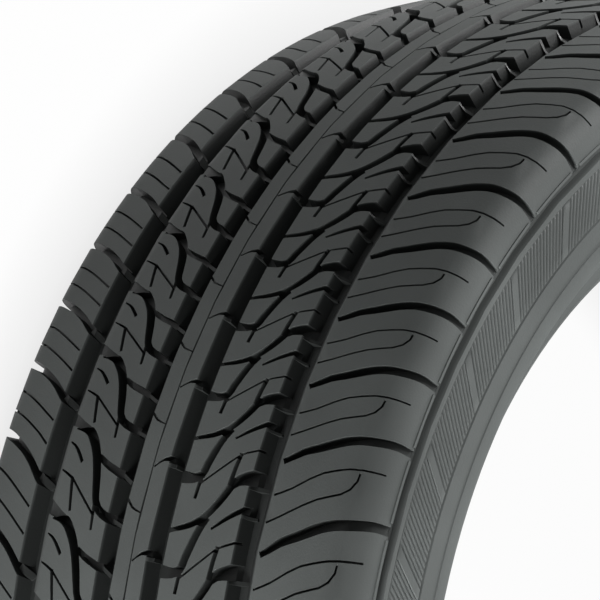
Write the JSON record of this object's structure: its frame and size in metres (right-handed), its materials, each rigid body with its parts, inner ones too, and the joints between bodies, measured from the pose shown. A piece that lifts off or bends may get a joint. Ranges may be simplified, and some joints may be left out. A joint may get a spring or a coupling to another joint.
{
  "type": "car tyre",
  "caption": "Low-profile road tyre for a car wheel, with a ribbed tread cut by curved lateral grooves and slots, rounded shoulders and two bead seats.",
  "frame": {"origin": "on the tyre's axis, at mid width", "axes": "+Z along the axis towards the outer sidewall, which faces up; the tyre lies on its inner sidewall"},
  "size_m": [0.6259, 0.626, 0.213],
  "materials": {
    "tread_rubber": "matt black moulded rubber"
  },
  "bodies": {
    "root": {"tyre": "tread_rubber"}
  },
  "joints": []
}
